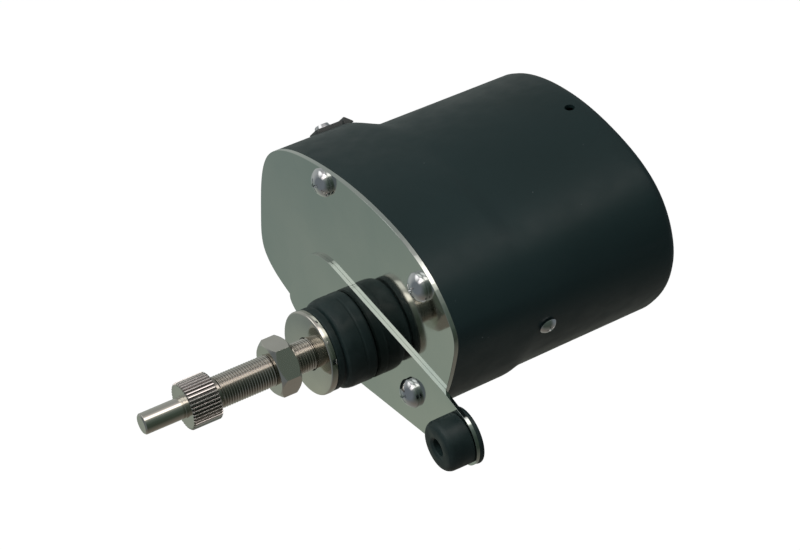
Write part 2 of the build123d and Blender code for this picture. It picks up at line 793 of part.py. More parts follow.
# ------------------------------------------------------------------ sector and link
with BuildPart() as sector_gear:
    with BuildSketch(front(sector_front)):
        with BuildLine():
            teeth = gear_teeth(sector_centre, output_module, sector_teeth, mesh_angle - 30.0, count=7)
            Polyline(sector_centre, *teeth, close=True)
        make_face()
        with Locations(sector_centre):
            Circle(sector_hub_radius)
        arm = toward(sector_centre, mesh_angle + 90.0, sector_pin_radius / 2)
        with Locations(arm):
            Rectangle(sector_pin_radius, 6.4, rotation=mesh_angle + 90.0)
        with Locations(pin_rest):
            Circle(link_pin_boss)
        with Locations(sector_centre):
            Circle(sector_axle_radius + running_clearance, mode=Mode.SUBTRACT)
        with Locations(pin_rest):
            Circle(link_pin_radius, mode=Mode.SUBTRACT)
    extrude(amount=-(sector_back - sector_front))

with BuildPart() as sector_pin:
    with BuildSketch(front(sector_front)):
        with Locations(pin_rest):
            Circle(link_pin_radius)
    extrude(amount=-(link_back - sector_front + 0.9))

with BuildPart() as link_clip:
    with BuildSketch(front(link_back + 0.3)):
        with Locations(pin_rest):
            Circle(link_pin_radius + 1.1)
            Circle(link_pin_radius, mode=Mode.SUBTRACT)
    extrude(amount=-0.6)

with BuildPart() as connecting_link:
    with BuildSketch(front(link_front)):
        with Locations(((pin_rest[0] + crank_pin_centre[0]) / 2, (pin_rest[1] + crank_pin_centre[1]) / 2)):
            SlotCenterToCenter(link_length, link_width, rotation=link_angle)
        with Locations(pin_rest, crank_pin_centre):
            Circle(link_pin_radius + running_clearance, mode=Mode.SUBTRACT)
    extrude(amount=-(link_back - link_front))

# ------------------------------------------------------------------ reduction gears
with BuildPart() as crank_gear:
    with BuildSketch(front(crank_front)):
        with BuildLine():
            Polyline(*gear_teeth(crank_centre, train_module, wheel_teeth, idler_angle), close=True)
        make_face()
        with Locations(crank_centre):
            Circle(axle_radius + running_clearance, mode=Mode.SUBTRACT)
        with Locations(crank_pin_centre):
            Circle(crank_pin_radius, mode=Mode.SUBTRACT)
    extrude(amount=-(crank_back - crank_front))

with BuildPart() as crank_pin:
    with BuildSketch(front(link_back + 0.4)):
        with Locations(crank_pin_centre):
            Circle(crank_pin_radius)
    extrude(amount=-(crank_back - link_back - 0.4))

with BuildPart() as idler_pinion:
    with BuildSketch(front(crank_front - 0.4)):
        with BuildLine():
            first_tooth = idler_angle + 180.0 + 180.0 / pinion_teeth
            Polyline(*gear_teeth(idler_centre, train_module, pinion_teeth, first_tooth), close=True)
        make_face()
        with Locations(idler_centre):
            Circle(axle_radius + running_clearance, mode=Mode.SUBTRACT)
    extrude(amount=-(wheel_front - crank_front + 0.4))

with BuildPart() as idler_wheel:
    with BuildSketch(front(wheel_front)):
        with BuildLine():
            Polyline(*gear_teeth(idler_centre, train_module, wheel_teeth, armature_angle), close=True)
        make_face()
        with Locations(idler_centre):
            Circle(axle_radius + running_clearance, mode=Mode.SUBTRACT)
    extrude(amount=-(wheel_back - wheel_front))

# ------------------------------------------------------------------------- armature
with BuildPart() as armature_shaft:
    with BuildSketch(front(wheel_front - 0.5)):
        with Locations(motor_centre):
            Circle(armature_seat_radius)
    extrude(amount=-(wheel_back - wheel_front + 1.0))
    with BuildSketch(front(wheel_back + 0.5)):
        with Locations(motor_centre):
            Circle(armature_shaft_radius)
    extrude(amount=-(yoke_end + end_plate_thickness + end_boss_length - wheel_back - 1.0))

with BuildPart() as armature_pinion:
    with BuildSketch(front(wheel_front - 0.3)):
        with BuildLine():
            first_tooth = armature_angle + 180.0 + 180.0 / pinion_teeth
            Polyline(*gear_teeth(motor_centre, train_module, pinion_teeth, first_tooth), close=True)
        make_face()
        with Locations(motor_centre):
            Circle(armature_seat_radius, mode=Mode.SUBTRACT)
    extrude(amount=-(wheel_back - wheel_front + 0.6))

with BuildPart() as armature_core:
    with BuildSketch(front(core_front)):
        with Locations(motor_centre):
            Circle(core_radius)
            Circle(armature_shaft_radius, mode=Mode.SUBTRACT)
        with Locations(motor_centre):
            with PolarLocations(core_radius - 1.7, 5):
                Rectangle(4.4, 1.6, mode=Mode.SUBTRACT)
            with PolarLocations(core_radius - 5.3, 5):
                Rectangle(5.0, 7.0, mode=Mode.SUBTRACT)
    extrude(amount=-(core_back - core_front))

with BuildPart() as armature_windings:
    for start in (core_front - winding_depth, core_back):
        with BuildSketch(front(start)):
            with Locations(motor_centre):
                Circle(core_radius - 2.8)
                Circle(armature_shaft_radius + 2.5, mode=Mode.SUBTRACT)
        extrude(amount=-winding_depth)

with BuildPart() as commutator:
    with BuildSketch(front(commutator_front)):
        with Locations(motor_centre):
            Circle(commutator_radius)
            Circle(armature_shaft_radius, mode=Mode.SUBTRACT)
    extrude(amount=-commutator_length)

# ---------------------------------------------------------------------- write steps
pieces = {
    "front_plate": front_plate,
    "plate_gasket": plate_gasket,
    "gear_case": gear_case,
    "motor_cover": motor_cover,
    "cover_screws": cover_screws,
    "mounting_bracket": mounting_bracket,
    "foot_grommet": foot_grommet,
    "plate_screws": plate_screws,
    "bracket_screws": bracket_screws,
    "threaded_bush": threaded_bush,
    "rubber_boot": rubber_boot,
    "panel_washer": panel_washer,
    "panel_nut": panel_nut,
    "terminal_block": terminal_block,
    "terminal_blade": terminal_blade,
    "terminal_screw": terminal_screw,
    "spindle_rear_bush": spindle_rear_bush,
    "armature_front_bush": armature_front_bush,
    "armature_rear_bush": armature_rear_bush,
    "idler_axle": idler_axle,
    "crank_axle": crank_axle,
    "sector_axle": sector_axle,
    "motor_yoke": motor_yoke,
    "field_magnets": field_magnets,
    "motor_end_plate": motor_end_plate,
    "brush_plate": brush_plate,
    "carbon_brushes": carbon_brushes,
    "brush_springs": brush_springs,
    "wiper_spindle": wiper_spindle,
    "knurled_driver": knurled_driver,
    "output_pinion": output_pinion,
    "sector_gear": sector_gear,
    "sector_pin": sector_pin,
    "link_clip": link_clip,
    "connecting_link": connecting_link,
    "crank_gear": crank_gear,
    "crank_pin": crank_pin,
    "idler_pinion": idler_pinion,
    "idler_wheel": idler_wheel,
    "armature_shaft": armature_shaft,
    "armature_pinion": armature_pinion,
    "armature_core": armature_core,
    "armature_windings": armature_windings,
    "commutator": commutator,
}
os.makedirs("parts", exist_ok=True)
for name, piece in pieces.items():
    piece.part.label = name
    export_step(piece.part, f"parts/{name}.step")
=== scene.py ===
"""Dresses the wiper motor: materials, fine detail, studio and camera.

The motor's own sizes are written in millimetres and become metres as a mesh is made. The studio, the
finishes and every mesh are in metres. The spindle lies along Y and its front end points to -Y.
"""

from __future__ import annotations

import json
import logging
import math
from collections.abc import Callable, Iterator, Sequence
from contextlib import contextmanager
from dataclasses import dataclass
from enum import Enum

import bmesh
import bpy
from mathutils import Matrix, Vector

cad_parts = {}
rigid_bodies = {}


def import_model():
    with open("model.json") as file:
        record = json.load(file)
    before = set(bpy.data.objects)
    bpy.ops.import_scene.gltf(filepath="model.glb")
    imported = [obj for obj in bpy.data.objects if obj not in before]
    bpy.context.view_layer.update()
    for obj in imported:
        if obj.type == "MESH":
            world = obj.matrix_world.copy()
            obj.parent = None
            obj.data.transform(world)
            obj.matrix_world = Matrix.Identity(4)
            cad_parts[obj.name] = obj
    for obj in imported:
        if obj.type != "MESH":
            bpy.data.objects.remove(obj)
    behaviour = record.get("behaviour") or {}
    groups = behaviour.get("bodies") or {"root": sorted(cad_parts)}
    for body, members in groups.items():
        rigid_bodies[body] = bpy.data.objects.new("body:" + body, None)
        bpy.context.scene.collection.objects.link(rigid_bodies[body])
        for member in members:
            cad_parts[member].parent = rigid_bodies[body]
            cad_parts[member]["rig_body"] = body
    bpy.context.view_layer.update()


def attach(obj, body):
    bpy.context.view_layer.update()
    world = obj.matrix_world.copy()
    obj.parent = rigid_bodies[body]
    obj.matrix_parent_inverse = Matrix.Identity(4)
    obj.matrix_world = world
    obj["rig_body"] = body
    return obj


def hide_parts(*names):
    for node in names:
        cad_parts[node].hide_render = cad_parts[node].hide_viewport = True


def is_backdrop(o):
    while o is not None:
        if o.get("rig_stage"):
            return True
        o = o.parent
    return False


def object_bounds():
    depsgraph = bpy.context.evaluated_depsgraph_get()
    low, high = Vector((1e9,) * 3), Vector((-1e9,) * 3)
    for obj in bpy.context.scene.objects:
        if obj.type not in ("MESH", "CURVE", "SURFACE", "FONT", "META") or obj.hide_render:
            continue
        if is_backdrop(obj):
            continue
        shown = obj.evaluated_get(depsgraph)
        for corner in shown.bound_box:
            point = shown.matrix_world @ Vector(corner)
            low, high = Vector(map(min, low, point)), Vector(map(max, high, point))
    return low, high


LOG = logging.getLogger("wiper_motor")

MM = 0.001
MERGE_DISTANCE = 2e-6  # metres between vertices that become one
FACET_ANGLE = 0.4  # degrees between facets that become one face
EDGE_STEPS = 3  # steps across a rounded edge
BRACKET_FACE = -1.2  # y of the bracket's front face in millimetres

Point2 = tuple[float, float]
Point3 = tuple[float, float, float]
Colour = tuple[float, float, float]
Piece = bpy.types.Object
Socket = bpy.types.NodeSocket


# ---------- work in edit mode
def deselect_all() -> None:
    """Leaves nothing selected, so that an operator acts on the new piece alone."""
    for item in bpy.context.selected_objects:
        item.select_set(False)


def make_active(piece: Piece) -> None:
    """Selects one piece alone and makes it the active one.

    Args:
        piece: the piece to work on.
    """
    deselect_all()
    piece.select_set(True)
    bpy.context.view_layer.objects.active = piece


@contextmanager
def editing(piece: Piece) -> Iterator[None]:
    """Opens a piece in edit mode and closes it again.

    Args:
        piece: the piece to edit.
    """
    make_active(piece)
    bpy.ops.object.mode_set(mode="EDIT")
    try:
        yield
    finally:
        bpy.ops.object.mode_set(mode="OBJECT")


def merge_all() -> None:
    """Selects all of the piece in edit mode and merges what coincides."""
    bpy.ops.mesh.select_all(action="SELECT")
    bpy.ops.mesh.remove_doubles(threshold=MERGE_DISTANCE)


def face_outwards() -> None:
    """Selects all of the piece in edit mode and turns its faces outwards."""
    bpy.ops.mesh.select_all(action="SELECT")
    bpy.ops.mesh.normals_make_consistent(inside=False)


def pick_faces(piece: Piece, test: Callable[[Vector], bool]) -> None:
    """Selects the faces of a piece in edit mode that pass a test.

    Args:
        piece: the piece, in edit mode.
        test: is given a face's normal.
    """
    bpy.ops.mesh.select_mode(type="FACE")
    bpy.ops.mesh.select_all(action="DESELECT")
    mesh = bmesh.from_edit_mesh(piece.data)
    mesh.normal_update()
    for face in mesh.faces:
        if test(face.normal):
            face.select_set(True)
    bmesh.update_edit_mesh(piece.data)


def modify(piece: Piece, kind: str, **settings: object) -> None:
    """Adds a modifier to a piece and applies it.

    Args:
        piece: the piece.
        kind: Blender's name of the modifier, such as "BEVEL".
        settings: the modifier's own settings.
    """
    make_active(piece)
    modifier = piece.modifiers.new(kind.title(), kind)
    for key, value in settings.items():
        setattr(modifier, key, value)
    bpy.ops.object.modifier_apply(modifier=modifier.name)


def smooth(piece: Piece, angle: float) -> None:
    """Shades a piece smooth, with sharp edges above an angle in degrees."""
    make_active(piece)
    bpy.ops.object.shade_smooth_by_angle(angle=math.radians(angle))


def soften(piece: Piece, width: float, angle: float) -> None:
    """Rounds a piece's edges, and shades it so that flat faces look flat.

    Args:
        piece: the piece.
        width: the rounding's width in millimetres.
        angle: edges sharper than this many degrees are rounded.
    """
    modify(piece, "BEVEL", width=width * MM, segments=EDGE_STEPS, limit_method="ANGLE",
           angle_limit=math.radians(angle), use_clamp_overlap=True, miter_outer="MITER_ARC")
    smooth(piece, angle)
    modify(piece, "WEIGHTED_NORMAL", mode="FACE_AREA", keep_sharp=True)


def settle(piece: Piece) -> None:
    """Moves a piece's place, turn and scale into its mesh."""
    make_active(piece)
    bpy.ops.object.transform_apply(location=True, rotation=True, scale=True)


def join(pieces: Sequence[Piece], name: str) -> Piece:
    """Joins pieces into one.

    Args:
        pieces: the pieces, of which the first keeps its data.
        name: the joined piece's name.

    Returns:
        The joined piece.
    """
    make_active(pieces[0])
    for piece in pieces[1:]:
        piece.select_set(True)
    bpy.ops.object.join()
    pieces[0].name = name
    return pieces[0]


def carve(piece: Piece, cutter: Piece) -> None:
    """Cuts a piece with another one, which is used up."""
    modify(piece, "BOOLEAN", object=cutter, operation="DIFFERENCE", solver="EXACT")
    bpy.data.objects.remove(cutter)


def drawn(name: str, points: Sequence[Point2], centre: Point2 = (0.0, 0.0)) -> Piece:
    """Draws a section beside an axis along Y, closed unless it starts and ends on the axis.

    Args:
        name: the new piece's name.
        points: (radius, y) of the section's corners in millimetres, in order.
        centre: the axis's (x, z) in millimetres.

    Returns:
        The section, as a line of edges.
    """
    corners = [(radius * MM, y * MM) for radius, y in points]
    last = corners[0]
    if max(last[0], corners[-1][0]) > 0.0:
        corners.append(last)
    deselect_all()
    bpy.ops.mesh.primitive_plane_add(size=MM)
    piece = bpy.context.object
    piece.name = name
    with editing(piece):
        bpy.ops.mesh.select_mode(type="VERT")
        bpy.ops.mesh.select_all(action="SELECT")
        bpy.ops.mesh.merge(type="CENTER")
        bpy.ops.transform.translate(value=(centre[0] * MM + last[0], last[1], centre[1] * MM))
        for corner in corners[1:]:
            step = (corner[0] - last[0], corner[1] - last[1], 0.0)
            bpy.ops.mesh.extrude_region_move(TRANSFORM_OT_translate={"value": step})
            last = corner
        merge_all()
    return piece


def turned(name: str, points: Sequence[Point2], steps: int, centre: Point2 = (0.0, 0.0)) -> Piece:
    """Draws a section beside an axis along Y and spins it round.

    Args:
        name: the new piece's name.
        points: (radius, y) of the section's corners in millimetres, in order.
        steps: the steps of one turn.
        centre: the axis's (x, z) in millimetres.

    Returns:
        The turned piece.
    """
    piece = drawn(name, points, centre)
    with editing(piece):
        bpy.ops.mesh.select_all(action="SELECT")
        bpy.ops.mesh.spin(steps=steps, angle=2 * math.pi, center=(centre[0] * MM, 0.0, centre[1] * MM),
                          axis=(0.0, 1.0, 0.0))
        merge_all()
        face_outwards()
    return piece


def refined(node: str, name: str, rounding: float = 0.0, angle: float = 30.0) -> Piece:
    """Copies a CAD node as one clean mesh, rounds its edges and lets the copy stand for it.

    Args:
        node: the CAD node's name.
        name: the copy's name.
        rounding: the width of the edges' rounding in millimetres, or 0 for none.
        angle: edges sharper than this many degrees are rounded, or stay sharp.

    Returns:
        The copy.
    """
    source = bpy.data.objects[node]
    piece = bpy.data.objects.new(name, source.data.copy())
    bpy.context.scene.collection.objects.link(piece)
    with editing(piece):
        bpy.ops.mesh.customdata_custom_splitnormals_clear()
        merge_all()
        bpy.ops.mesh.select_all(action="SELECT")
        bpy.ops.mesh.dissolve_limited(angle_limit=math.radians(FACET_ANGLE))
    if rounding:
        soften(piece, rounding, angle)
    else:
        smooth(piece, angle)
    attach(piece, source["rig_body"])
    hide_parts(node)
    return piece


def stand_for(piece: Piece, node: str) -> None:
    """Lets a new piece on the housing stand for a CAD node.

    Args:
        piece: the new piece.
        node: the CAD node's name.
    """
    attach(piece, "housing")
    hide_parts(node)


# ---------- finishes
class Nodes:
    """A short way to wire a material's nodes."""

    def __init__(self, name: str) -> None:
        """Makes a material that holds a Principled shader and its output.

        Args:
            name: the material's name.
        """
        self.material = bpy.data.materials.new(name)
        self.material.use_nodes = True
        self.tree = self.material.node_tree
        self.shader = self.tree.nodes["Principled BSDF"]
        self.place = self.add("ShaderNodeTexCoord").outputs["Object"]

    def add(self, kind: str, **settings: object) -> bpy.types.Node:
        """Adds a node.

        Args:
            kind: Blender's name of the node.
            settings: the node's properties, or its inputs by name.

        Returns:
            The node.
        """
        node = self.tree.nodes.new(kind)
        for key, value in settings.items():
            if hasattr(node, key):
                setattr(node, key, value)
            else:
                node.inputs[key.replace("_", " ")].default_value = value
        return node

    def link(self, source: Socket, target: Socket) -> None:
        """Joins one socket to another."""
        self.tree.links.new(source, target)

    def feed(self, name: str, source: Socket) -> None:
        """Joins a socket to one of the shader's own by its name."""
        self.link(source, self.shader.inputs[name])

    def set(self, **values: object) -> None:
        """Sets the shader's own sockets."""
        for key, value in values.items():
            self.shader.inputs[key.replace("_", " ")].default_value = value

    def surface(self, source: Socket) -> None:
        """Shows another shader in place of the Principled one."""
        self.link(source, self.tree.nodes["Material Output"].inputs["Surface"])

    def glow(self, colour: Socket, strength: float) -> bpy.types.Material:
        """Makes the material glow.

        Args:
            colour: the glow's colour.
            strength: its strength; 1 is white.

        Returns:
            The material.
        """
        light = self.add("ShaderNodeEmission", Strength=strength)
        self.link(colour, light.inputs["Color"])
        self.surface(light.outputs[0])
        return self.material

    def noise(self, scale: float, detail: float, stretch: Point3 | None = None) -> Socket:
        """Lays noise over the piece.

        Args:
            scale: its scale per metre.
            detail: its octaves.
            stretch: how much it is squeezed along each axis.

        Returns:
            The noise, about 0.3 to 0.7.
        """
        noise = self.add("ShaderNodeTexNoise", Scale=scale, Detail=detail)
        place = self.place
        if stretch is not None:
            mapping = self.add("ShaderNodeMapping", Scale=stretch)
            self.link(place, mapping.inputs["Vector"])
            place = mapping.outputs["Vector"]
        self.link(place, noise.inputs["Vector"])
        return noise.outputs["Fac"]

    def across(self) -> Socket:
        """Gives the place on the piece as seen along the spindle.

        Returns:
            A vector that holds x and z.
        """
        split = self.add("ShaderNodeSeparateXYZ")
        flat = self.add("ShaderNodeCombineXYZ")
        self.link(self.place, split.inputs[0])
        self.link(split.outputs["X"], flat.inputs["X"])
        self.link(split.outputs["Z"], flat.inputs["Y"])
        return flat.outputs[0]

    def spread(self, value: Socket, low: float, high: float, start: float = 0.3, end: float = 0.7) -> Socket:
        """Maps a value from one range to another, and holds it there.

        Args:
            value: the value.
            low: what it gives at the start.
            high: what it gives at the end.
            start: the start of the value's own range.
            end: the end of it.

        Returns:
            The mapped value.
        """
        node = self.add("ShaderNodeMapRange")
        for socket, number in zip(("From Min", "From Max", "To Min", "To Max"), (start, end, low, high)):
            node.inputs[socket].default_value = number
        self.link(value, node.inputs["Value"])
        return node.outputs["Result"]

    def mix(self, share: Socket, low: Colour | Socket, high: Colour | Socket) -> Socket:
        """Mixes two colours.

        Args:
            share: the share of the second.
            low: the first colour, as numbers or a socket.
            high: the second.

        Returns:
            The mixed colour.
        """
        node = self.add("ShaderNodeMix", data_type="RGBA")
        self.link(share, node.inputs[0])
        for colour, socket in ((low, node.inputs[6]), (high, node.inputs[7])):
            if isinstance(colour, tuple):
                socket.default_value = (*colour, 1.0)
            else:
                self.link(colour, socket)
        return node.outputs[2]

    def bump(self, height: Socket, depth: float, strength: float = 1.0) -> None:
        """Bumps the surface.

        Args:
            height: the bumps.
            depth: how deep they are in metres.
            strength: how much of them shows.
        """
        node = self.add("ShaderNodeBump", Strength=strength, Distance=depth)
        self.link(height, node.inputs["Height"])
        self.feed("Normal", node.outputs["Normal"])


@dataclass(frozen=True)
class Metal:
    """Bare or plated metal that clouds over to a tint, with faint smudges and tooling marks.

    Each noise is a scale per metre and a detail, and depths are in metres. A groove is the radius of its
    root, which gets painted shade, and of its crest round the spindle, where the painted shade ends, in
    millimetres.
    """

    name: str
    colour: Colour
    tint: Colour
    roughness: float
    wear: float
    cloud: Point2 = (90.0, 4.0)
    smudge: Point2 = (260.0, 6.0)
    ripple: Point2 = (70.0, 1.0)
    ripple_depth: float = 0.0
    grain: float = 0.0
    grain_detail: float = 2.0
    grain_depth: float = 2e-6
    grain_stretch: Point3 = (1.0, 1.0, 1.0)
    # the groove's radii, and the colour of the painted shade at its root
    groove: Point2 | None = None
    groove_shade_colour: Colour = (0.0, 0.0, 0.0)

    def material(self) -> bpy.types.Material:
        """Makes the finish.

        Returns:
            The material.
        """
        nodes = Nodes(self.name)
        base = nodes.mix(nodes.spread(nodes.noise(*self.cloud), 0.0, 1.0), self.colour, self.tint)
        # grooved metal gets painted shade in its grooves
        nodes.feed("Base Color", self.paint_groove_shade(nodes, base) if self.groove else base)
        smudge = nodes.noise(*self.smudge)
        nodes.feed("Roughness", nodes.spread(smudge, self.roughness, self.roughness + self.wear))
        nodes.set(Metallic=1.0)
        if self.grain:
            nodes.bump(nodes.noise(self.grain, self.grain_detail, self.grain_stretch), self.grain_depth)
        elif self.ripple_depth:
            nodes.bump(nodes.noise(*self.ripple), self.ripple_depth)
        return nodes.material

    def paint_groove_shade(self, nodes: Nodes, base: Socket) -> Socket:
        """Paints shade into the bottoms of grooves cut round or along the spindle.

        Args:
            nodes: the material's nodes.
            base: the metal's colour without the painted shade.

        Returns:
            The colour with painted shade in the grooves.
        """
        radius = nodes.add("ShaderNodeVectorMath", operation="LENGTH")
        nodes.link(nodes.across(), radius.inputs[0])
        root, crest = self.groove
        # painted shade: full at the root radius, none at the crest radius
        clean = nodes.spread(radius.outputs["Value"], 0.0, 1.0, root * MM, crest * MM)
        return nodes.mix(clean, self.groove_shade_colour, base)


@dataclass(frozen=True)
class Moulding:
    """Moulded plastic, laminate or carbon with a fine even texture.

    The cloud mixes the two colours, the smudge spreads the roughness by its range, and the grain bumps the
    skin. Each is a scale per metre and a detail.
    """

    name: str
    colour: Colour
    tint: Colour
    roughness: float = 0.45
    metallic: float = 0.0
    gloss: float = 0.25
    cloud: Point2 = (300.0, 4.0)
    cloud_range: Point2 = (0.3, 0.7)
    smudge: Point2 = (700.0, 3.0)
    smudge_range: Point2 = (-0.05, 0.08)
    grain: Point2 = (1800.0, 2.0)
    grain_depth: float = 8e-6
    grain_strength: float = 0.4

    def base(self, nodes: Nodes) -> Socket:
        """Mixes the surface's colour.

        Args:
            nodes: the material's nodes.

        Returns:
            The colour.
        """
        cloud = nodes.spread(nodes.noise(*self.cloud), 0.0, 1.0, *self.cloud_range)
        return nodes.mix(cloud, self.colour, self.tint)

    def material(self) -> bpy.types.Material:
        """Makes the finish.

        Returns:
            The material.
        """
        nodes = Nodes(self.name)
        nodes.feed("Base Color", self.base(nodes))
        low, high = (self.roughness + change for change in self.smudge_range)
        nodes.feed("Roughness", nodes.spread(nodes.noise(*self.smudge), low, high))
        nodes.set(Metallic=self.metallic, Specular_IOR_Level=self.gloss)
        nodes.bump(nodes.noise(*self.grain), self.grain_depth, self.grain_strength)
        return nodes.material


@dataclass(frozen=True)
class Rubber(Moulding):
    """Moulded rubber with a smoky bloom, its tint, and a fine matt skin."""

    roughness: float = 0.42
    gloss: float = 0.28
    cloud: Point2 = (140.0, 6.0)
    cloud_range: Point2 = (0.4, 0.75)
    smudge: Point2 = (320.0, 5.0)
    smudge_range: Point2 = (-0.06, 0.14)
    grain: Point2 = (2600.0, 3.0)
    grain_depth: float = 1.2e-5
    grain_strength: float = 0.5


@dataclass(frozen=True)
class SatinPaint(Moulding):
    """Sprayed satin paint with orange peel, broad tone changes and a few pale dust flecks.

    The dust's cell and size are in metres, and its patches leave most cells without a fleck.
    """

    roughness: float = 0.4
    gloss: float = 0.19
    cloud: Point2 = (22.0, 5.0)
    smudge: Point2 = (160.0, 5.0)
    smudge_range: Point2 = (-0.03, 0.07)
    grain: Point2 = (1500.0, 2.0)
    grain_depth: float = 1.1e-5
    grain_strength: float = 0.6
    dust: Colour = (0.16, 0.18, 0.18)
    dust_cell: float = 0.0052
    dust_size: float = 0.00016
    dust_patch: Point2 = (75.0, 2.0)
    dust_range: Point2 = (0.47, 0.56)

    def base(self, nodes: Nodes) -> Socket:
        """Mixes the paint's colour and lays dust on it.

        Args:
            nodes: the material's nodes.

        Returns:
            The colour.
        """
        cells = nodes.add("ShaderNodeTexVoronoi", Scale=1.0 / self.dust_cell)
        nodes.link(nodes.place, cells.inputs["Vector"])
        edge = self.dust_size / self.dust_cell
        fleck = nodes.spread(cells.outputs["Distance"], 1.0, 0.0, edge * 0.5, edge)
        patch = nodes.spread(nodes.noise(*self.dust_patch), 0.0, 1.0, *self.dust_range)
        both = nodes.add("ShaderNodeMath", operation="MULTIPLY")
        nodes.link(fleck, both.inputs[0])
        nodes.link(patch, both.inputs[1])
        return nodes.mix(both.outputs[0], super().base(nodes), self.dust)


class Finish(Enum):
    """Every finish on the motor, by the part it is used for."""

    PLATE = Metal("polished_plate", (0.61, 0.63, 0.59), (0.47, 0.53, 0.505), 0.04, 0.03,
                  cloud=(20.0, 4.0), ripple_depth=6e-7)
    NICKEL = Metal("warm_nickel", (0.67, 0.65, 0.60), (0.61, 0.59, 0.54), 0.07, 0.05,
                   grain=900.0, grain_stretch=(1.0, 6.0, 1.0))
    # painted shade in the thread's grooves
    THREAD = Metal("plated_thread", (0.74, 0.70, 0.65), (0.66, 0.63, 0.58), 0.09, 0.05,
                   groove=(4.9, 5.18), groove_shade_colour=(0.36, 0.34, 0.31))
    # painted shade between the knurl's teeth
    KNURL = Metal("plated_knurl", (0.80, 0.75, 0.74), (0.72, 0.67, 0.66), 0.14, 0.06,
                  groove=(7.2, 7.6), groove_shade_colour=(0.17, 0.165, 0.16))
    CHROME = Metal("bright_screw", (0.74, 0.75, 0.77), (0.68, 0.69, 0.72), 0.06, 0.05, ripple_depth=8e-7)
    STEEL = Metal("machined_steel", (0.44, 0.45, 0.46), (0.38, 0.39, 0.40), 0.28, 0.10, grain=1200.0)
    CAST = Metal("cast_alloy", (0.52, 0.53, 0.54), (0.44, 0.45, 0.46), 0.42, 0.15,
                 grain=1500.0, grain_depth=2e-5)
    BRONZE = Metal("sintered_bronze", (0.62, 0.42, 0.20), (0.52, 0.34, 0.15), 0.38, 0.12, grain=2400.0)
    COPPER = Metal("drawn_copper", (0.72, 0.33, 0.16), (0.60, 0.26, 0.12), 0.26, 0.12, grain=1600.0)
    MAGNET = Metal("ground_magnet", (0.16, 0.16, 0.17), (0.12, 0.12, 0.13), 0.45, 0.10, grain=1800.0)
    PAINT = SatinPaint("satin_black_paint", (0.0085, 0.0190, 0.0200), (0.0065, 0.0155, 0.0160))
    RUBBER = Rubber("black_rubber", (0.0060, 0.0130, 0.0132), (0.0120, 0.0215, 0.0220))
    GASKET = Rubber("gasket_sheet", (0.02, 0.02, 0.02), (0.035, 0.035, 0.035), 0.6)
    PLASTIC = Moulding("black_plastic", (0.008, 0.014, 0.0155), (0.012, 0.020, 0.022), 0.42)
    GEAR = Moulding("natural_nylon", (0.68, 0.66, 0.58), (0.74, 0.72, 0.64), 0.4)
    LAMINATE = Moulding("brush_laminate", (0.26, 0.11, 0.05), (0.32, 0.15, 0.07), 0.5)
    CARBON = Moulding("pressed_carbon", (0.03, 0.03, 0.03), (0.05, 0.05, 0.05), 0.5, 0.3)

    def on(self, piece: Piece) -> Piece:
        """Puts this finish on a piece, in place of what it has.

        Args:
            piece: the piece.

        Returns:
            The piece.
        """
        made = bpy.data.materials.get(self.value.name) or self.value.material()
        piece.data.materials.clear()
        piece.data.materials.append(made)
        for face in piece.data.polygons:
            face.material_index = 0
        return piece


def dress_nodes(finish: Finish, *names: str) -> None:
    """Gives a finish to CAD nodes that stay as they are, and reports each.

    Args:
        finish: the finish.
        names: the nodes' names.
    """
    for name in names:
        finish.on(bpy.data.objects[name])
        LOG.info("%s: %s", name, finish.name.lower())


# ---------- screws
@dataclass
class PanScrew:
    """A pan head screw with a cross recess, its shank along the seat's -Z."""

    turn: float
    radius: float = 4.8
    height: float = 3.9
    rim: float = 1.1
    undercut: float = 0.1
    dome_steps: int = 16
    turn_steps: int = 48
    shank: float = 2.5
    length: float = 9.0
    recess_span: float = 5.2
    recess_width: float = 0.95
    recess_depth: float = 2.0
    recess_taper: float = 0.82
    edge: float = 0.12
    edge_angle: float = 40.0

    def profile(self) -> list[Point2]:
        """Draws the head and shank.

        Returns:
            (radius, height) of each corner, from the dome's top to the shank's end.
        """
        rise = self.height - self.rim
        sphere = (self.radius**2 + rise**2) / (2 * rise)
        sweep = math.asin(self.radius / sphere)
        middle = self.rim - sphere * math.cos(sweep)
        angles = [sweep * i / self.dome_steps for i in range(self.dome_steps + 1)]
        dome = [(sphere * math.sin(angle), middle + sphere * math.cos(angle)) for angle in angles]
        stem = [(self.radius - self.undercut, 0.0), (self.shank, 0.0), (self.shank, -self.length)]
        return dome + stem + [(0.0, -self.length)]

    def cutter(self, turn: float) -> Piece:
        """Makes the cutter of one slot of the recess, which is narrower at the bottom.

        Args:
            turn: the slot's turn about the screw in degrees.

        Returns:
            The cutter, half sunk in the head's top.
        """
        size = (self.recess_span * MM, self.recess_width * MM, 2 * self.recess_depth * MM)
        deselect_all()
        bpy.ops.mesh.primitive_cube_add(size=1.0)
        piece = bpy.context.object
        with editing(piece):
            bpy.ops.transform.resize(value=size)
            pick_faces(piece, lambda normal: normal.z < -0.9)
            bpy.ops.transform.resize(value=(self.recess_taper, self.recess_taper, 1.0),
                                     center_override=(0.0, 0.0, -size[2] / 2))
        lift = Matrix.Translation((0.0, 0.0, self.height * MM))
        piece.matrix_world = lift @ Matrix.Rotation(math.radians(turn), 4, "Z")
        settle(piece)
        return piece

    def build(self, seat: Matrix) -> Piece:
        """Builds the screw.

        Args:
            seat: the head's seat, with +Z out of the surface.

        Returns:
            The screw.
        """
        points = [(radius, -height) for radius, height in self.profile()]
        piece = turned("screw", points, self.turn_steps)
        piece.rotation_euler = (math.radians(-90.0), 0.0, 0.0)
        settle(piece)
        for turn in (self.turn, self.turn + 90.0):
            carve(piece, self.cutter(turn))
        modify(piece, "BEVEL", width=self.edge * MM, segments=2, limit_method="ANGLE",
               angle_limit=math.radians(self.edge_angle))
        smooth(piece, self.edge_angle)
        piece.matrix_world = seat
        settle(piece)
        return Finish.CHROME.on(piece)


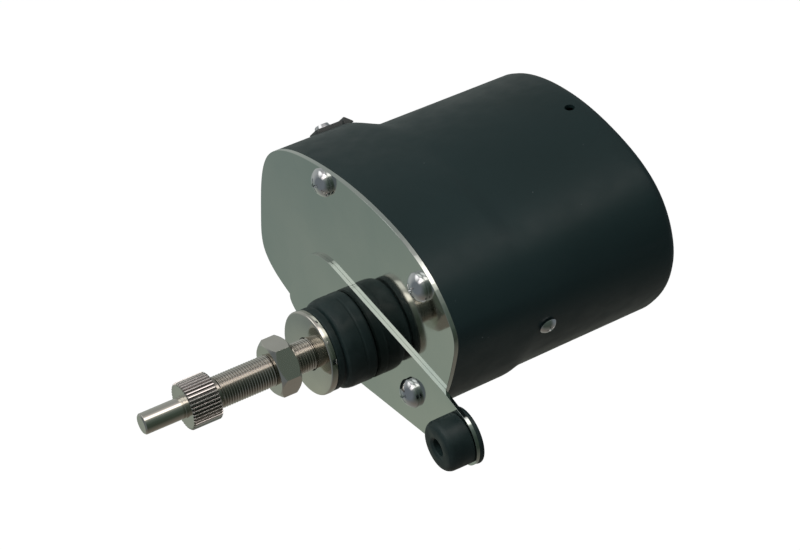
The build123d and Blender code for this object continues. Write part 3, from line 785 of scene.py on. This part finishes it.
def seat_at(origin: Point3, out: Point3 = (0.0, -1.0, 0.0)) -> Matrix:
    """Makes a seat at a place in millimetres, with +Z out of it, by default to the front."""
    turn = Vector(out).to_track_quat("Z", "Y").to_matrix().to_4x4()
    return Matrix.Translation(tuple(value * MM for value in origin)) @ turn


def screw_set(screws: Sequence[Piece], node: str) -> Piece:
    """Joins built screws as one piece that stands for a CAD node.

    Args:
        screws: the screws on their seats.
        node: the CAD node's name.

    Returns:
        The joined screws.
    """
    piece = join(screws, f"{node}_bright")
    stand_for(piece, node)
    return piece


def front_screws(places: Sequence[Point3], face: float, node: str) -> Piece:
    """Builds pan screws that face the front, as one piece that stands for a CAD node.

    Args:
        places: the (x, z) of each in millimetres and its recess's turn in degrees.
        face: the y of the face that they sit on.
        node: the CAD node's name.

    Returns:
        The screws.
    """
    return screw_set([PanScrew(turn).build(seat_at((x, face, z))) for x, z, turn in places], node)


def report(pieces: Sequence[Piece]) -> None:
    """Logs each piece with its number of faces."""
    for piece in pieces:
        LOG.info("%s: %d faces", piece.name, len(piece.data.polygons))


# ---------- sub-assemblies
@dataclass
class Housing:
    """Front plate, gear case, drawn cover and the screws that hold them."""

    plate_rounding: float = 0.3
    cover_angle: float = 40.0
    plate_screws: Sequence[Point3] = ((-12.3, 51.6, 25.0), (44.1, 44.6, 50.0))
    side_seats: Sequence[tuple[Point3, Point3]] = (
        ((56.95, 35.5, 22.02), (0.95, 0.04, -0.32)),
        ((-51.92, 41.0, 24.76), (-0.95, 0.0, 0.31)),
    )
    side_lift: float = 0.2
    side_turn: float = 20.0

    def build(self) -> list[Piece]:
        """Builds and dresses the housing.

        Returns:
            The new pieces.
        """
        plate = Finish.PLATE.on(refined("front_plate", "front_plate_polished", self.plate_rounding))
        cover = Finish.PAINT.on(refined("motor_cover", "motor_cover_painted", angle=self.cover_angle))
        screws = front_screws(self.plate_screws, 0.0, "plate_screws")
        pieces = [plate, cover, screws, self.side_screws()]
        dress_nodes(Finish.GASKET, "plate_gasket")
        dress_nodes(Finish.CAST, "gear_case")
        return pieces

    def side_screws(self) -> Piece:
        """Builds the two small screws in the cover's sides.

        Returns:
            The screws, as one piece.
        """
        screws = []
        for origin, out in self.side_seats:
            screw = PanScrew(self.side_turn, radius=2.95, height=1.9, rim=0.5, shank=1.5, length=8.0,
                             recess_span=3.2, recess_width=0.6, recess_depth=1.0)
            place = tuple(value + self.side_lift * step for value, step in zip(origin, out))
            screws.append(screw.build(seat_at(place, out)))
        return screw_set(screws, "cover_screws")


@dataclass
class FootBracket:
    """The bracket on the plate, its rubber grommet and its screws.

    The foot is drawn in along X and narrowed from a line across it to its end.
    """

    rounding: float = 0.24
    foot: Point2 = (63.6, 0.0)
    foot_start: float = 50.0
    foot_end: float = 73.8
    foot_draw: float = 1.4
    foot_narrowing: float = 0.07
    narrowing_rate: float = 1.6
    screws: Sequence[Point3] = ((35.5, -0.7, 35.0), (-24.0, -9.0, 10.0))
    grommet_radius: float = 8.25
    grommet_bore: float = 2.75
    grommet_neck: float = 5.65
    grommet_rounding: float = 0.45
    grommet_steps: int = 80

    def build(self) -> list[Piece]:
        """Builds and dresses the bracket.

        Returns:
            The new pieces.
        """
        bracket = Finish.PLATE.on(refined("mounting_bracket", "bracket_polished", self.rounding))
        for corner in bracket.data.vertices:
            share = (corner.co.x / MM - self.foot_start) / (self.foot_end - self.foot_start)
            share = min(1.0, max(0.0, share))
            corner.co.x -= self.foot_draw * MM * share**2
            corner.co.z *= 1.0 - self.foot_narrowing * min(1.0, self.narrowing_rate * share)
        return [bracket, self.grommet(), front_screws(self.screws, BRACKET_FACE, "bracket_screws")]

    def grommet(self) -> Piece:
        """Turns the grommet with its domed front rim and thin rear flange.

        Returns:
            The grommet.
        """
        r, f, bore, neck = self.grommet_radius, BRACKET_FACE, self.grommet_bore, self.grommet_neck
        profile = [
            (bore, 1.4), (9.1, 1.4), (9.35, 0.9), (9.2, 0.0), (neck, 0.0), (neck, f), (r - 0.1, f),
            (r, f - 0.4), (r, f - 4.5), (r - 0.05, f - 6.9), (r - 0.45, f - 7.9), (r - 1.2, f - 8.6),
            (r - 2.4, f - 8.9), (3.6, f - 8.75), (bore, f - 8.2),
        ]
        piece = turned("foot_grommet_rubber", profile, self.grommet_steps, self.foot)
        soften(piece, self.grommet_rounding, angle=20.0)
        stand_for(piece, "foot_grommet")
        return Finish.RUBBER.on(piece)


@dataclass
class PanelFitting:
    """Threaded bush, rubber boot, washer and nut.

    The washer hangs loose on the thread and leans back against the boot: its lean is the turns about X
    and Z in degrees. The boot's front ring follows it, and the lean fades out behind the ring.
    """

    bush_front: float = -52.2
    bush_bore: float = 3.54
    flange_radius: float = 9.0
    thread_radius: float = 5.3
    thread_root: float = 4.85
    thread_pitch: float = 0.9
    thread_start: float = -51.9
    thread_end: float = -17.6
    thread_steps: int = 72
    nut_rounding: float = 0.5
    washer_radius: float = 14.05
    washer_thickness: float = 2.3
    washer_front: float = -18.2
    washer_bore: float = 5.6
    washer_lean: Point2 = (-4.4, 3.7)
    boot_radius: float = 15.1
    boot_bore: float = 5.45
    boot_recess: float = 6.7
    boot_front: float = -15.9
    boot_rounding: float = 0.3
    ring_back: float = 3.65
    lean_fade: float = 1.4
    turn_steps: int = 112

    def build(self) -> list[Piece]:
        """Builds and dresses the fitting.

        Returns:
            The new pieces.
        """
        nut = Finish.NICKEL.on(refined("panel_nut", "panel_nut_plated", self.nut_rounding, angle=25.0))
        return [self.washer(), nut, self.bush(), self.boot()]

    def lean(self) -> Matrix:
        """Gives the turn of the washer."""
        about_x, about_z = (math.radians(angle) for angle in self.washer_lean)
        return Matrix.Rotation(about_z, 4, "Z") @ Matrix.Rotation(about_x, 4, "X")

    def washer(self) -> Piece:
        """Turns the washer with its rounded front edge and leans it on the thread.

        Returns:
            The washer.
        """
        r, t, bore = self.washer_radius, self.washer_thickness, self.washer_bore
        profile = [
            (bore, 0.0), (r - 0.62, 0.0), (r - 0.34, 0.07), (r - 0.12, 0.25), (r, 0.55), (r, t - 0.25),
            (r - 0.2, t), (bore, t),
        ]
        piece = turned("panel_washer_plated", profile, self.turn_steps)
        smooth(piece, angle=35.0)
        piece.matrix_world = Matrix.Translation((0.0, self.washer_front * MM, 0.0)) @ self.lean()
        settle(piece)
        stand_for(piece, "panel_washer")
        return Finish.NICKEL.on(piece)

    def bush(self) -> Piece:
        """Turns the bush and winds its thread round it.

        Returns:
            Both, as one piece.
        """
        r, root, front, bore = self.thread_radius, self.thread_root, self.bush_front, self.bush_bore
        profile = [
            (bore, front), (root - 0.2, front), (root, front + 0.3), (root, self.thread_end),
            (r, self.thread_end + 0.5), (r, BRACKET_FACE), (r + 1.0, BRACKET_FACE), (r + 1.0, 1.5),
            (self.flange_radius, 1.5), (self.flange_radius, 3.5), (bore, 3.5),
        ]
        core = turned("bush_core", profile, steps=96)
        smooth(core, angle=30.0)
        piece = join([core, self.ridge()], "threaded_bush_plated")
        stand_for(piece, "threaded_bush")
        return Finish.THREAD.on(piece)

    def ridge(self) -> Piece:
        """Winds one closed section, the ridge's, into the thread.

        Returns:
            The ridge.
        """
        start, pitch, foot = self.thread_start, self.thread_pitch, self.thread_root - 0.08
        crest = self.thread_radius
        section = [
            (foot, 0.0), (crest - 0.06, 0.42), (crest, 0.48), (crest, 0.52), (crest - 0.06, 0.58),
            (foot, 1.0),
        ]
        piece = drawn("thread_ridge", [(radius, start + share * pitch) for radius, share in section])
        modify(piece, "SCREW", axis="Y", angle=2 * math.pi, screw_offset=pitch * MM,
               iterations=int((self.thread_end - start) / pitch), steps=self.thread_steps,
               render_steps=self.thread_steps, use_merge_vertices=False)
        with editing(piece):
            bpy.ops.mesh.select_mode(type="EDGE")
            bpy.ops.mesh.select_all(action="DESELECT")
            bpy.ops.mesh.select_non_manifold(extend=False, use_multi_face=False,
                                             use_non_contiguous=False, use_verts=False)
            bpy.ops.mesh.fill()
            face_outwards()
        smooth(piece, angle=50.0)
        return piece

    def boot(self) -> Piece:
        """Turns the ribbed boot and leans its front ring back with the washer.

        Returns:
            The boot.
        """
        r, f, b, bore = self.boot_radius, self.boot_front, BRACKET_FACE, self.boot_bore
        profile = [
            (bore, f), (r - 1.9, f), (r - 1.35, f + 0.3), (r - 1.2, f + 0.8), (r - 1.2, f + 2.3),
            (r - 1.4, f + 2.8), (r - 1.9, f + 3.2), (r - 2.1, f + 3.65), (r - 1.9, f + 4.1),
            (r - 1.0, f + 4.5), (r - 0.5, f + 5.1), (r - 0.15, f + 6.2), (r, f + 7.4), (r, b - 4.5),
            (r - 0.12, b - 4.1), (r - 0.18, b - 3.8), (r - 0.12, b - 3.5), (r, b - 3.1), (r, b - 0.8),
            (r - 0.25, b - 0.2), (r - 0.7, b), (self.boot_recess, b), (self.boot_recess, b - 1.2),
            (bore, b - 1.2),
        ]
        piece = turned("rubber_boot_moulded", profile, self.turn_steps)
        lean = self.lean().to_3x3() @ Vector((0.0, 1.0, 0.0))
        for corner in piece.data.vertices:
            share = min(1.0, max(0.0, (f + self.ring_back - corner.co.y / MM) / self.lean_fade))
            corner.co.y -= share * (corner.co.x * lean.x + corner.co.z * lean.z) / lean.y
        soften(piece, self.boot_rounding, angle=18.0)
        smooth(piece, angle=60.0)
        stand_for(piece, "rubber_boot")
        return Finish.RUBBER.on(piece)


@dataclass
class Terminal:
    """Terminal block with its screw and blade, seated down on the collar's curve."""

    seat_sink: float = 0.8
    block_rounding: float = 0.3
    blade_rounding: float = 0.15
    screw_rounding: float = 0.12

    def build(self) -> list[Piece]:
        """Builds and dresses the terminal.

        Returns:
            The new pieces.
        """
        pieces = [
            Finish.PLASTIC.on(refined("terminal_block", "terminal_block_moulded", self.block_rounding)),
            Finish.PLASTIC.on(refined("terminal_blade", "terminal_blade_moulded", self.blade_rounding)),
            Finish.CHROME.on(refined("terminal_screw", "terminal_screw_bright", self.screw_rounding)),
        ]
        for piece in pieces:
            with editing(piece):
                bpy.ops.mesh.select_all(action="SELECT")
                bpy.ops.transform.translate(value=(0.0, 0.0, -self.seat_sink * MM))
        return pieces


@dataclass
class WiperSpindle:
    """The swinging spindle and its knurled driver."""

    spindle_rounding: float = 0.12
    driver_rounding: float = 0.1

    def build(self) -> list[Piece]:
        """Builds and dresses the spindle, with the spindle's metal, free of painted shade, on the driver's
        flat ends.

        Returns:
            The new pieces.
        """
        spindle = refined("wiper_spindle", "wiper_spindle_plated", self.spindle_rounding)
        driver = refined("knurled_driver", "knurled_driver_plated", self.driver_rounding, angle=25.0)
        pieces = [Finish.NICKEL.on(spindle), Finish.KNURL.on(driver)]
        driver.data.materials.append(spindle.data.materials[0])
        for face in driver.data.polygons:
            face.material_index = int(abs(face.normal.y) > 0.5)
        dress_nodes(Finish.STEEL, "output_pinion")
        return pieces


class Gearing:
    """The linkage and reduction gears, sealed inside the case."""

    def build(self) -> list[Piece]:
        """Dresses the gearing, which stays as it is.

        Returns:
            No new piece.
        """
        dress_nodes(Finish.STEEL, "sector_gear", "sector_pin", "link_clip", "connecting_link", "crank_pin",
                    "idler_pinion", "idler_axle", "crank_axle", "sector_axle")
        dress_nodes(Finish.GEAR, "crank_gear", "idler_wheel")
        dress_nodes(Finish.BRONZE, "spindle_rear_bush", "armature_front_bush", "armature_rear_bush")
        return []


class ElectricMotor:
    """Yoke, magnets, brushes and armature, sealed behind the case."""

    def build(self) -> list[Piece]:
        """Dresses the motor, which stays as it is.

        Returns:
            No new piece.
        """
        dress_nodes(Finish.STEEL, "motor_yoke", "motor_end_plate", "armature_shaft", "armature_pinion",
                    "armature_core", "brush_springs")
        dress_nodes(Finish.MAGNET, "field_magnets")
        dress_nodes(Finish.LAMINATE, "brush_plate")
        dress_nodes(Finish.CARBON, "carbon_brushes")
        dress_nodes(Finish.COPPER, "armature_windings", "commutator")
        return []


# ---------- the studio
@dataclass
class Softbox:
    """One soft light, aimed at a point, which polished surfaces don't mirror."""

    name: str
    place: Point3
    size: Point2
    power: float
    colour: Colour
    aim: Point3 = (0.0, 0.0, 0.02)

    def build(self) -> None:
        """Hangs the light."""
        data = bpy.data.lights.new(self.name, "AREA")
        data.shape = "RECTANGLE"
        data.size, data.size_y = self.size
        data.energy = self.power
        data.color = self.colour
        light = bpy.data.objects.new(self.name, data)
        bpy.context.scene.collection.objects.link(light)
        light.location = self.place
        light.rotation_mode = "QUATERNION"
        light.rotation_quaternion = (Vector(self.place) - Vector(self.aim)).to_track_quat("Z", "Y")
        light.visible_glossy = False


@dataclass
class Surround:
    """A tube of toned card round the motor, along the spindle, and a white card: seen in polish alone.

    Each tone stands at an angle round the tube, in degrees from +X towards +Z. The tones fade to the end
    tone over a range of distances along the tube, and the card's over one from its middle.
    """

    radius: float = 0.8
    length: float = 3.2
    sides: int = 96
    brightest: float = 2.6
    end_tone: Colour = (0.16, 0.18, 0.19)
    end_range: Point2 = (0.45, 1.3)
    card_place: Point3 = (-0.31, -0.28, 0.60)
    card_size: Point2 = (0.8, 0.46)
    card_glow: float = 1.4
    card_tone: Colour = (1.0, 0.99, 0.96)
    card_edge_tone: Colour = (0.31, 0.32, 0.31)
    card_range: Point2 = (0.12, 0.38)
    tones: Sequence[tuple[float, Colour]] = (
        (-180, (0.44, 0.46, 0.44)),
        (-148, (0.235, 0.28, 0.26)),
        (-133, (0.37, 0.405, 0.34)),
        (-110, (0.27, 0.27, 0.24)),
        (-75, (0.19, 0.17, 0.145)),
        (-50, (0.13, 0.13, 0.11)),
        (-22, (0.050, 0.062, 0.048)),
        (12, (0.060, 0.082, 0.066)),
        (40, (0.13, 0.16, 0.14)),
        (60, (0.36, 0.38, 0.35)),
        (69, (2.35, 2.22, 2.08)),
        (84, (2.20, 2.06, 2.00)),
        (97, (0.60, 0.58, 0.57)),
        (118, (0.36, 0.37, 0.36)),
        (150, (0.38, 0.40, 0.39)),
        (180, (0.44, 0.46, 0.44)),
    )

    def build(self) -> None:
        """Stands the tube and the card round the motor."""
        self.tube()
        self.card()

    def tube(self) -> None:
        """Stands the tube round the motor."""
        deselect_all()
        bpy.ops.mesh.primitive_cylinder_add(vertices=self.sides, radius=self.radius, depth=self.length,
                                            end_fill_type="NGON", rotation=(math.radians(90.0), 0.0, 0.0))
        tube = bpy.context.object
        tube.name = "toned_surround"
        settle(tube)
        tube.data.materials.append(self.tube_tones())
        self.hide(tube)

    def card(self) -> None:
        """Hangs the white card above and in front, which draws a bright line along polished edges."""
        deselect_all()
        bpy.ops.mesh.primitive_plane_add(size=1.0)
        card = bpy.context.object
        card.name = "white_reflector"
        card.scale = (*self.card_size, 1.0)
        card.location = self.card_place
        card.rotation_euler = (-Vector(self.card_place)).to_track_quat("Z", "Y").to_euler()
        settle(card)
        nodes = Nodes("white_card")
        away = nodes.add("ShaderNodeVectorMath", operation="DISTANCE")
        away.inputs[1].default_value = self.card_place
        nodes.link(nodes.place, away.inputs[0])
        fade = nodes.spread(away.outputs["Value"], 0.0, 1.0, *self.card_range)
        tone = nodes.mix(fade, self.card_tone, self.card_edge_tone)
        card.data.materials.append(nodes.glow(tone, self.card_glow))
        self.hide(card)

    def hide(self, card: Piece) -> None:
        """Lets polished surfaces alone see a card.

        Args:
            card: the card, which isn't part of the motor.
        """
        card.visible_camera = False
        card.visible_diffuse = False
        card.visible_shadow = False
        card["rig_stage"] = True

    def dimmed(self, tone: Colour) -> Colour:
        """Gives a tone as a share of the brightest."""
        return tuple(value / self.brightest for value in tone)

    def tube_tones(self) -> bpy.types.Material:
        """Makes the tube's tones as a ramp over the angle round it.

        Returns:
            The material.
        """
        nodes = Nodes("surround_card")
        turn = nodes.add("ShaderNodeTexGradient", gradient_type="RADIAL")
        nodes.link(nodes.across(), turn.inputs["Vector"])
        shade = nodes.add("ShaderNodeValToRGB")
        stops = shade.color_ramp.elements
        while len(stops) < len(self.tones):
            stops.new(0.5)
        for stop, (angle, tone) in zip(stops, self.tones):
            stop.position = angle / 360.0 + 0.5
            stop.color = (*self.dimmed(tone), 1.0)
        nodes.link(turn.outputs["Fac"], shade.inputs["Fac"])
        split = nodes.add("ShaderNodeSeparateXYZ")
        along = nodes.add("ShaderNodeMath", operation="ABSOLUTE")
        nodes.link(nodes.place, split.inputs[0])
        nodes.link(split.outputs["Y"], along.inputs[0])
        fade = nodes.spread(along.outputs[0], 0.0, 1.0, *self.end_range)
        tone = nodes.mix(fade, shade.outputs["Color"], self.dimmed(self.end_tone))
        return nodes.glow(tone, self.brightest)


@dataclass
class Studio:
    """Pale floor and world, soft lights, the surround and the camera."""

    camera_place: Point3 = (0.59737, -0.30682, 0.50738)
    camera_right: Point3 = (0.51987, 0.85134, -0.07048)
    camera_down: Point3 = (0.47202, -0.35505, -0.80693)
    camera_clip: Point2 = (0.05, 20.0)
    focal_pixels: float = 2639.4
    frame_pixels: float = 800.0
    sensor_width: float = 36.0
    world_tone: Colour = (0.82, 0.83, 0.84)
    world_strength: float = 0.4
    floor_size: float = 14.0
    floor_drop: float = 0.85
    floor_tone: Colour = (0.93, 0.93, 0.93)
    floor_glow: float = 1.12
    floor_glow_share: float = 0.85
    lights: Sequence[Softbox] = (
        Softbox("key_light", (-0.1, -0.55, 0.95), (0.55, 0.45), 10.0, (1.0, 0.98, 0.95)),
        Softbox("side_light", (0.9, 0.35, 0.5), (0.35, 0.6), 1.2, (0.95, 0.98, 1.0)),
        Softbox("front_light", (0.45, -0.9, 0.15), (0.3, 0.5), 1.5, (1.0, 0.93, 0.86)),
    )

    def build(self) -> None:
        """Builds the studio round the motor."""
        self.world()
        self.floor()
        Surround().build()
        for light in self.lights:
            light.build()
        self.camera()

    def background_rays(self, tree: bpy.types.NodeTree) -> Socket:
        """Finds the rays that show the background: the camera's, glossy and transmitted ones.

        Args:
            tree: the nodes of the floor or the world.

        Returns:
            1 for those rays and 0 for others.
        """
        path = tree.nodes.new("ShaderNodeLightPath")
        share = path.outputs["Is Camera Ray"]
        for name in ("Is Glossy Ray", "Is Transmission Ray"):
            larger = tree.nodes.new("ShaderNodeMath")
            larger.operation = "MAXIMUM"
            tree.links.new(share, larger.inputs[0])
            tree.links.new(path.outputs[name], larger.inputs[1])
            share = larger.outputs[0]
        return share

    def world(self) -> None:
        """Makes an even pale world, which is white where it is the background."""
        world = bpy.data.worlds.new("studio_world")
        bpy.context.scene.world = world
        world.use_nodes = True
        tree = world.node_tree
        shade = tree.nodes["Background"]
        shade.inputs["Color"].default_value = (*self.world_tone, 1.0)
        shade.inputs["Strength"].default_value = self.world_strength
        white = tree.nodes.new("ShaderNodeBackground")
        white.inputs["Color"].default_value = (1.0, 1.0, 1.0, 1.0)
        mix = tree.nodes.new("ShaderNodeMixShader")
        tree.links.new(self.background_rays(tree), mix.inputs["Fac"])
        tree.links.new(shade.outputs["Background"], mix.inputs[1])
        tree.links.new(white.outputs["Background"], mix.inputs[2])
        tree.links.new(mix.outputs["Shader"], tree.nodes["World Output"].inputs["Surface"])

    def floor(self) -> None:
        """Lays a wide pale floor well below the motor, white as background but with the shadow kept."""
        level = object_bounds()[0].z - self.floor_drop
        deselect_all()
        bpy.ops.mesh.primitive_plane_add(size=self.floor_size, location=(0.0, 0.0, level))
        floor = bpy.context.object
        floor.name = "studio_floor"
        floor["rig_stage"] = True
        nodes = Nodes("floor_paper")
        nodes.set(Roughness=0.9, Specular_IOR_Level=0.1, Base_Color=(*self.floor_tone, 1.0))
        light = nodes.add("ShaderNodeEmission", Strength=self.floor_glow)
        share = nodes.add("ShaderNodeMath", operation="MULTIPLY")
        share.inputs[1].default_value = self.floor_glow_share
        mix = nodes.add("ShaderNodeMixShader")
        nodes.link(self.background_rays(nodes.tree), share.inputs[0])
        nodes.link(share.outputs[0], mix.inputs[0])
        nodes.link(nodes.shader.outputs[0], mix.inputs[1])
        nodes.link(light.outputs[0], mix.inputs[2])
        nodes.surface(mix.outputs[0])
        floor.data.materials.append(nodes.material)

    def camera(self) -> None:
        """Sets the camera at its viewing angle."""
        data = bpy.data.cameras.new("main_camera")
        data.sensor_fit = "HORIZONTAL"
        data.sensor_width = self.sensor_width
        data.lens = self.sensor_width * self.focal_pixels / self.frame_pixels
        data.clip_start, data.clip_end = self.camera_clip
        camera = bpy.data.objects.new("main_camera", data)
        bpy.context.scene.collection.objects.link(camera)
        right = Vector(self.camera_right).normalized()
        up = -Vector(self.camera_down)
        up = (up - up.dot(right) * right).normalized()
        turn = Matrix((right, up, right.cross(up))).transposed().to_4x4()
        camera.matrix_world = Matrix.Translation(self.camera_place) @ turn
        bpy.context.scene.camera = camera


def main() -> None:
    """Builds the studio and the dressed motor, and reports each piece."""
    logging.basicConfig(level=logging.INFO, format="%(name)s: %(message)s")
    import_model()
    bpy.context.scene.view_settings.view_transform = "Standard"
    Studio().build()
    groups = (Housing(), FootBracket(), PanelFitting(), Terminal(), WiperSpindle(), Gearing(),
              ElectricMotor())
    for group in groups:
        report(group.build())


if __name__ == "__main__":
    main()
